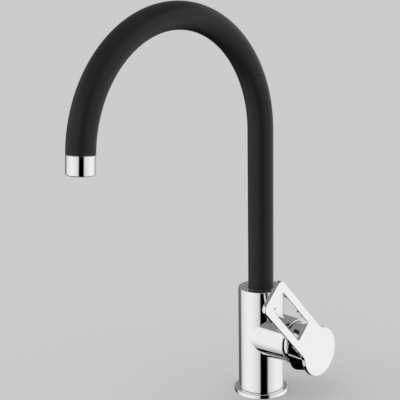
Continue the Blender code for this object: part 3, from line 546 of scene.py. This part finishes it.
def body_drills():
    """The sockets and holes of the body that can be seen into."""
    drills = [
        rod(SOCKET_RADIUS, SOCKET_FLOOR, BODY_TOP + OVERRUN, ROUND_STEPS),
        rod(CHAMBER_RADIUS, CHAMBER_FLOOR, BRANCH_REACH + OVERRUN, ROUND_STEPS, BRANCH @ ALONG_X),
        rod(RECESS_RADIUS, -OVERRUN, RECESS_DEPTH),
    ]
    start = RECESS_DEPTH - OVERRUN
    stud_at = Matrix.Translation((STUD_HOLE_X, 0, 0))
    drills.append(rod(STUD_HOLE_RADIUS, start, RECESS_DEPTH + STUD_HOLE_DEPTH, along=stud_at))
    screw_at = Matrix.Translation((0, 0, SCREW_HOLE_HEIGHT)) @ ALONG_Y
    drills.append(rod(SCREW_HOLE_RADIUS, SOCKET_RADIUS - OVERRUN, BODY_RADIUS + OVERRUN, along=screw_at))
    for side in (-1, 1):
        inlet_at = Matrix.Translation((INLET_X, side * INLET_Y, 0))
        drills.append(rod(INLET_RADIUS, start, RECESS_DEPTH + INLET_DEPTH, along=inlet_at))
    return drills


def body_shell():
    piece = made_object("body_shell", barrel_shape())
    carved(piece, "UNION", branch_shape())
    carved(piece, "DIFFERENCE", *body_drills())
    true_normals(piece.data)
    placed(piece, "polished_chrome", "tap_body", "body_casting")


def branch_radius(x):
    """The branch tapers from the barrel to its end."""
    share = min(max((x - BODY_RADIUS) / (BRANCH_REACH - BODY_RADIUS), 0), 1)
    return BRANCH_ROOT_RADIUS + (BRANCH_END_RADIUS - BRANCH_ROOT_RADIUS) * share


def barrel_way(point):
    return Vector((point.x, point.y, 0)).normalized()


def branch_way(point):
    slope = (BRANCH_ROOT_RADIUS - BRANCH_END_RADIUS) / (BRANCH_REACH - BODY_RADIUS)
    lean = slope if point.x > BODY_RADIUS else 0
    out = Vector((0, point.y, point.z - BRANCH_HEIGHT)).normalized()
    return (out + Vector((lean, 0, 0))).normalized()


def rim_way(point):
    middle = barrel_way(point) * (BODY_RADIUS - BODY_EDGE) + Vector((0, 0, BODY_TOP - BODY_EDGE))
    return (point - middle).normalized()


def way_of(centre, normal):
    """Which round surface a face lies on, as the function that gives its normals, or None."""
    if abs(normal.z) > SQUARE_SHARE or abs(normal.x) > SQUARE_SHARE:
        return None
    from_barrel = math.hypot(centre.x, centre.y)
    from_branch = math.hypot(centre.y, centre.z - BRANCH_HEIGHT)
    if centre.z > BODY_TOP - BODY_EDGE and from_barrel > BODY_RADIUS - BODY_EDGE:
        return rim_way
    if abs(from_barrel - BODY_RADIUS) < ON_SURFACE and abs(normal.z) < UPRIGHT_SHARE:
        return barrel_way
    if centre.x < BRANCH_REACH - BRANCH_EDGE and abs(from_branch - branch_radius(centre.x)) < ON_SURFACE:
        return branch_way
    return None


def true_normals(mesh):
    """Gives each corner the normal of the round surface that it lies on, so that reflections run clean."""
    normals = []
    for polygon in mesh.polygons:
        way = way_of(polygon.center, polygon.normal)
        for corner in polygon.loop_indices:
            point = mesh.vertices[mesh.loops[corner].vertex_index].co
            normals.append(way(point) if way else polygon.normal)
    mesh.shade_smooth()
    mesh.normals_split_custom_set([tuple(normal) for normal in normals])


def base_flange():
    bore = FOOT_SPIGOT_RADIUS + SEAT_GAP
    points = [
        (bore, BASE_RING_HEIGHT),
        (BASE_RING_RADIUS, BASE_RING_HEIGHT),
        (BASE_RING_RADIUS, 0),
        (GASKET_GROOVE_OUTER, 0),
        (GASKET_GROOVE_OUTER, GASKET_GROOVE_DEPTH),
        (GASKET_GROOVE_INNER, GASKET_GROOVE_DEPTH),
        (GASKET_GROOVE_INNER, 0),
        (bore, 0),
    ]
    piece = made_object("base_flange", turned(points, {1: BASE_RING_EDGE}))
    smoothed(piece)
    placed(piece, "polished_chrome", "tap_body", "base_ring")


def collar_ring():
    inner = TUBE_RADIUS + SEAT_GAP
    outer = SOCKET_RADIUS - SEAT_GAP
    points = [(inner, BODY_TOP), (outer, BODY_TOP), (outer, COVER_RING_FOOT), (inner, COVER_RING_FOOT)]
    piece = made_object("collar_ring", turned(points, {0: SEAT_GAP / 2, 1: SEAT_GAP / 2}))
    smoothed(piece)
    placed(piece, "polished_chrome", "tap_body", "spout_cover_ring")


def seam_dome():
    """The cap between the branch and the lever's hub: a rounded foot, a cone and a round hollow."""
    middle = (DOME_FOOT_RADIUS - DOME_ROUNDING, DOME_FOOT_HEIGHT)
    foot = arc_points(middle, DOME_ROUNDING, DOME_LEAN, 0, CURVE_STEPS)
    shoulder_radius, shoulder_height = foot[0]
    top_radius = shoulder_radius - math.tan(DOME_LEAN) * (DOME_TOP - shoulder_height)
    skirt = [
        (DOME_SKIRT_RADIUS, DOME_FOOT_HEIGHT),
        (DOME_SKIRT_RADIUS, DOME_SKIRT_HEIGHT),
        (DOME_SKIRT_INNER, DOME_SKIRT_HEIGHT),
    ]
    start = math.acos(DOME_SKIRT_INNER / DOME_INNER_RADIUS)
    stop = QUARTER_TURN - DOME_OPENING
    hollow = arc_points((0, 0), DOME_INNER_RADIUS, start, stop, CURVE_STEPS)
    points = [(top_radius, DOME_TOP)] + foot + skirt + hollow
    at_pivot = BRANCH @ Matrix.Translation((PIVOT_X, 0, 0)) @ ALONG_X
    piece = made_object("seam_dome", turned(points, along=at_pivot))
    smoothed(piece)
    placed(piece, "polished_chrome", "tap_body", "dome_ring")


# Spout

def arc_centre():
    return Vector((0, -ARC_RADIUS, ARC_HEIGHT))


def leg_direction():
    return Vector((0, -math.sin(ARC_SWEEP), math.cos(ARC_SWEEP)))


def leg_end():
    across = Vector((0, math.cos(ARC_SWEEP), math.sin(ARC_SWEEP)))
    return arc_centre() + across * ARC_RADIUS + leg_direction() * LEG_LENGTH


def drawn_out(bm, edges, way):
    """Extrudes a loop of edges straight along a way, and gives the new loop."""
    grown = bmesh.ops.extrude_edge_only(bm, edges=edges)["geom"]
    corners = [item for item in grown if isinstance(item, bmesh.types.BMVert)]
    bmesh.ops.translate(bm, verts=corners, vec=way)
    new_edges = [item for item in grown if isinstance(item, bmesh.types.BMEdge)]
    return [edge for edge in new_edges if all(corner in corners for corner in edge.verts)]


def swan_neck():
    """A bent tube: a straight column, a bend of almost half a turn and a short leg."""
    bm = bmesh.new()
    bmesh.ops.create_circle(bm, segments=TUBE_STEPS, radius=TUBE_RADIUS)
    bmesh.ops.translate(bm, verts=bm.verts, vec=(0, 0, TUBE_FOOT))
    loop = drawn_out(bm, bm.edges[:], (0, 0, ARC_HEIGHT - TUBE_FOOT))
    corners = list({corner for edge in loop for corner in edge.verts})
    bent = bmesh.ops.spin(
        bm,
        geom=corners + loop,
        cent=arc_centre(),
        axis=(1, 0, 0),
        angle=ARC_SWEEP,
        steps=ARC_STEPS,
    )["geom_last"]
    last = [item for item in bent if isinstance(item, bmesh.types.BMEdge)]
    drawn_out(bm, last, leg_direction() * LEG_LENGTH)
    bmesh.ops.remove_doubles(bm, verts=bm.verts, dist=MERGE)
    bmesh.ops.recalc_face_normals(bm, faces=bm.faces)
    bmesh.ops.solidify(bm, geom=bm.faces[:], thickness=TUBE_WALL)
    piece = made_object("swan_neck", bm)
    smoothed(piece)
    placed(piece, "satin_black", "spout", "spout_tube")


def nozzle_shell():
    foot = -SEAT_GAP - NOZZLE_LENGTH
    lip_top = foot + NOZZLE_LIP_HEIGHT
    points = [
        (NOZZLE_SPIGOT_RADIUS, NOZZLE_SPIGOT_LENGTH),
        (NOZZLE_SPIGOT_RADIUS, -SEAT_GAP),
        (NOZZLE_RADIUS, -SEAT_GAP),
        (NOZZLE_RADIUS, foot),
        (NOZZLE_LIP_RADIUS, foot),
        (NOZZLE_LIP_RADIUS, lip_top),
        (NOZZLE_BORE, lip_top),
        (NOZZLE_BORE, NOZZLE_SPIGOT_LENGTH),
    ]
    roundings = {2: SEAT_GAP, 3: NOZZLE_EDGE, 4: SEAT_GAP}
    at_end = Matrix.Translation(leg_end()) @ Matrix.Rotation(ARC_SWEEP - HALF_TURN, 4, "X")
    piece = made_object("nozzle_shell", turned(points, roundings, along=at_end))
    smoothed(piece)
    placed(piece, "polished_chrome", "spout", "nozzle_sleeve")


# Lever

def egg(near, far):
    """The hull of two circles, each given as how far it lies from the axis and its radius."""
    near_shift, near_radius = near
    far_shift, far_radius = far
    tangent = math.acos((far_radius - near_radius) / (far_shift - near_shift))
    start = QUARTER_TURN - tangent
    stop = QUARTER_TURN + tangent
    half = ROUND_STEPS // 2
    top = arc_points((0, -near_shift), near_radius, start, stop, half)
    return top + arc_points((0, -far_shift), far_radius, stop, start + FULL_TURN, half)


def hub_shape():
    """A closed shape between two eggs, with its back edge rounded."""
    bm = bmesh.new()
    tilt = math.tan(HUB_BACK_TILT)
    rear = [bm.verts.new((HUB_BACK + tilt * z, y, z)) for y, z in egg(HUB_BACK_NEAR, HUB_BACK_FAR)]
    fore = [bm.verts.new((HUB_FRONT, y, z)) for y, z in egg(HUB_FRONT_NEAR, HUB_FRONT_FAR)]
    edges = [bm.edges.new(pair) for row in (rear, fore) for pair in zip(row, row[1:] + row[:1])]
    bmesh.ops.bridge_loops(bm, edges=edges)
    back = bm.faces.new(rear)
    bm.faces.new(fore)
    rounded(bm, back.edges[:], HUB_EDGE, "EDGES")
    bmesh.ops.transform(bm, matrix=LEVER, verts=bm.verts)
    return bm


def hub_cavity():
    """The room over the dome: a straight bore, then a cone."""
    points = [
        (0, HUB_CAVITY_DEPTH),
        (HUB_CAVITY_END_RADIUS, HUB_CAVITY_DEPTH),
        (HUB_BORE_RADIUS, HUB_BORE_DEPTH),
        (HUB_BORE_RADIUS, 0),
        (0, 0),
    ]
    at_bore = LEVER @ Matrix.Translation((0, 0, -HUB_BORE_SHIFT)) @ ALONG_X
    return turned(points, closed=False, along=at_bore)


def handle_hub():
    along = LEVER @ ALONG_X
    boss = rod(HUB_BOSS_RADIUS, HUB_BOSS_FOOT, HUB_CAVITY_DEPTH + OVERRUN, HOLE_STEPS, along)
    stem_hole = rod(HUB_STEM_HOLE_RADIUS, 0, HUB_STEM_HOLE_DEPTH, HOLE_STEPS, along)
    away = LEVER @ Matrix.Translation((HUB_SCREW_HEIGHT, 0, 0)) @ Matrix.Rotation(HALF_TURN, 4, "X")
    screw_hole = rod(HUB_SCREW_HOLE_RADIUS, 0, DISC_SHIFT + DISC_RADIUS + OVERRUN, HOLE_STEPS, away)
    piece = made_object("handle_hub", hub_shape())
    carved(piece, "DIFFERENCE", hub_cavity())
    carved(piece, "UNION", boss)
    carved(piece, "DIFFERENCE", stem_hole, screw_hole)
    smoothed(piece)
    placed(piece, "polished_chrome", "lever", "lever_hub")


def plate_outline():
    """Disc with a loop: a straight-sided frame that meets the disc in a fillet on each side."""
    reach = DISC_RADIUS + LOOP_FILLET
    side = LOOP_HALF_WIDTH + LOOP_FILLET
    height = -DISC_SHIFT + math.sqrt(reach**2 - side**2)
    meet = math.atan2(height + DISC_SHIFT, side)
    corner_y = LOOP_HALF_WIDTH - LOOP_CORNER
    corner_z = LOOP_TIP - LOOP_CORNER
    few = CURVE_STEPS
    right_tip = arc_points((corner_y, corner_z), LOOP_CORNER, 0, QUARTER_TURN, few)
    left_tip = arc_points((-corner_y, corner_z), LOOP_CORNER, QUARTER_TURN, HALF_TURN, few)
    left_fillet = arc_points((-side, height), LOOP_FILLET, 0, -meet, few)
    disc = arc_points((0, -DISC_SHIFT), DISC_RADIUS, HALF_TURN - meet, FULL_TURN + meet, ROUND_STEPS)
    right_fillet = arc_points((side, height), LOOP_FILLET, HALF_TURN + meet, HALF_TURN, few)
    return right_tip + left_tip + left_fillet + disc[1:-1] + right_fillet


def window_outline():
    right = WINDOW_HALF_WIDTH - WINDOW_CORNER
    top = WINDOW_TOP - WINDOW_CORNER
    foot = WINDOW_FOOT + WINDOW_CORNER
    points = []
    for quarter, corner in enumerate([(right, top), (-right, top), (-right, foot), (right, foot)]):
        start = quarter * QUARTER_TURN
        points += arc_points(corner, WINDOW_CORNER, start, start + QUARTER_TURN, ROUNDING_STEPS)
    return points


def slab(points, start, stop):
    """A flat outline in the lever's frame, drawn out from start to stop."""
    bm = bmesh.new()
    face = bm.faces.new([bm.verts.new((start, y, z)) for y, z in points])
    grown = bmesh.ops.extrude_face_region(bm, geom=[face])["geom"]
    corners = [item for item in grown if isinstance(item, bmesh.types.BMVert)]
    bmesh.ops.translate(bm, verts=corners, vec=(stop - start, 0, 0))
    bmesh.ops.transform(bm, matrix=LEVER, verts=bm.verts)
    return bm


def handle_plate():
    front = PLATE_BACK + PLATE_THICKNESS
    piece = made_object("handle_plate", slab(plate_outline(), PLATE_BACK, front))
    carved(piece, "DIFFERENCE", slab(window_outline(), PLATE_BACK - OVERRUN, front + OVERRUN))
    edge = piece.modifiers.new("softened edge", "BEVEL")
    edge.width = PLATE_EDGE
    edge.segments = ROUNDING_STEPS
    edge.limit_method = "ANGLE"
    edge.angle_limit = BEVEL_FROM
    edge.use_clamp_overlap = True
    smoothed(piece)
    placed(piece, "polished_chrome", "lever", "lever_plate")


# Finishes of the nodes that stay, studio and camera

def dress_frame():
    """Gives every CAD node that shows its finish."""
    slots = {part["node"]: part["material_slot"] for part in frame["record"]["subparts"]}
    for name, node in frame["nodes"].items():
        node.data.materials.clear()
        node.data.materials.append(FINISHES[slots[name]])


def panel(tree, turn, rise, foot, left, right, soft_left, soft_right, level):
    """A softbox between two azimuths, brightest in its middle and dimmer towards its foot."""
    middle = (left + right) / 2
    offset = (turn - middle) * (2 / (right - left))
    starts = tree.step(turn, left - soft_left, left + soft_left)
    stops = tree.step(turn, right - soft_right, right + soft_right)
    full_patch = tree.step(turn, *FULL_PATCH_START) * (1 - tree.step(turn, *FULL_PATCH_STOP))
    fade = tree.step(rise, *PANEL_FADE).maths("MAXIMUM", full_patch)
    share = PANEL_LOWEST_SHARE + fade * (1 - PANEL_LOWEST_SHARE)
    above_foot = tree.step(rise, foot - FOOT_SOFTNESS, foot + FOOT_SOFTNESS)
    height = share * above_foot * (1 - tree.step(rise, *PANEL_TOP))
    return starts * (1 - stops) * height * (level - offset * offset * PANEL_FALL)


def dim_room(tree, turn, rise):
    """The room between and over the panels, with a dark gap on the camera's right."""
    gap = tree.step(turn, *GAP_START) * (1 - tree.step(turn, *GAP_STOP)) * (1 - tree.step(rise, *GAP_TOP))
    level = ROOM_LEVEL + tree.step(rise, *ROOM_HORIZON) * ROOM_GAIN
    return level * tree.step(rise, *ROOM_FOOT) * (1 - gap)


def studio_light():
    """What metal reflects: two softboxes in a dim room. All else gets a plain fill and a grey backdrop."""
    world = bpy.data.worlds.new("studio")
    bpy.context.scene.world = world
    tree = tree_of(world)
    way = tree.node("ShaderNodeTexCoord", output="Generated")
    x, y, z = tree.split("ShaderNodeSeparateXYZ", "XYZ", {0: way})
    turn = tree.maths("DEGREES", tree.maths("ARCTAN2", y, x))
    rise = tree.maths("DEGREES", tree.maths("ARCSINE", z))
    slanted_foot = NEAR_PANEL_FOOT - (turn - NEAR_PANEL_FOOT_AT) * NEAR_PANEL_FOOT_SLOPE
    near = panel(tree, turn, rise, slanted_foot, **NEAR_PANEL)
    far = panel(tree, turn, rise, FAR_PANEL_FOOT, **FAR_PANEL)
    panels = near + far
    reflected = panels + dim_room(tree, turn, rise) * (1 - panels).maths("MAXIMUM", 0)
    seen, glossy = tree.split("ShaderNodeLightPath", ("Is Camera Ray", "Is Glossy Ray"))
    level = seen * BACKDROP_LEVEL + glossy * reflected + (1 - seen - glossy) * FILL_LEVEL
    tree.feed(tree.nodes["Background"].inputs["Color"], level)


def key_lamp(azimuth, elevation, strength, spread):
    """A broad parallel lamp that metal doesn't show. Its angles are in degrees."""
    data = bpy.data.lights.new("key", "SUN")
    data.energy = strength
    data.angle = math.radians(spread)
    lamp = linked("key", data)
    turn, rise = math.radians(azimuth), math.radians(elevation)
    toward = Vector((math.cos(turn) * math.cos(rise), math.sin(turn) * math.cos(rise), math.sin(rise)))
    lamp.rotation_mode = "QUATERNION"
    lamp.rotation_quaternion = toward.to_track_quat("Z", "Y")
    lamp.visible_glossy = False


def pale_floor():
    bm = bmesh.new()
    bmesh.ops.create_grid(bm, x_segments=1, y_segments=1, size=FLOOR_SIZE)
    floor = made_object("studio_floor", bm)
    look = bpy.data.materials.new("pale_floor")
    tree = tree_of(look)
    tree.nodes.remove(tree.nodes["Principled BSDF"])
    matt = tree.node("ShaderNodeBsdfDiffuse", None, {"Color": grey(FLOOR_ALBEDO)})
    tree.feed(tree.nodes["Material Output"].inputs["Surface"], matt)
    floor.data.materials.append(look)
    floor.visible_glossy = False


def camera():
    yaw, pitch, roll = CAMERA_YAW, CAMERA_PITCH, CAMERA_ROLL
    look = Vector((-math.sin(yaw) * math.cos(pitch), math.cos(yaw) * math.cos(pitch), -math.sin(pitch)))
    right = Vector((math.cos(yaw), math.sin(yaw), 0))
    down = look.cross(right)
    across = right * math.cos(roll) + down * math.sin(roll)
    below = down * math.cos(roll) - right * math.sin(roll)
    data = bpy.data.cameras.new("camera")
    data.lens = CAMERA_LENS
    data.sensor_width = SENSOR_WIDTH
    data.clip_start = CLIP_START
    data.clip_end = CLIP_END
    made = linked("camera", data)
    turn = Matrix((across, -below, -look)).transposed().to_4x4()
    made.matrix_world = Matrix.Translation(CAMERA_PLACE) @ turn
    bpy.context.scene.camera = made


bpy.context.scene.view_settings.view_transform = "Standard"
camera()
studio_light()
key_lamp(**KEY_LAMP)
pale_floor()
dress_frame()
body_shell()
base_flange()
collar_ring()
seam_dome()
swan_neck()
nozzle_shell()
handle_hub()
handle_plate()

bpy.context.view_layer.update()
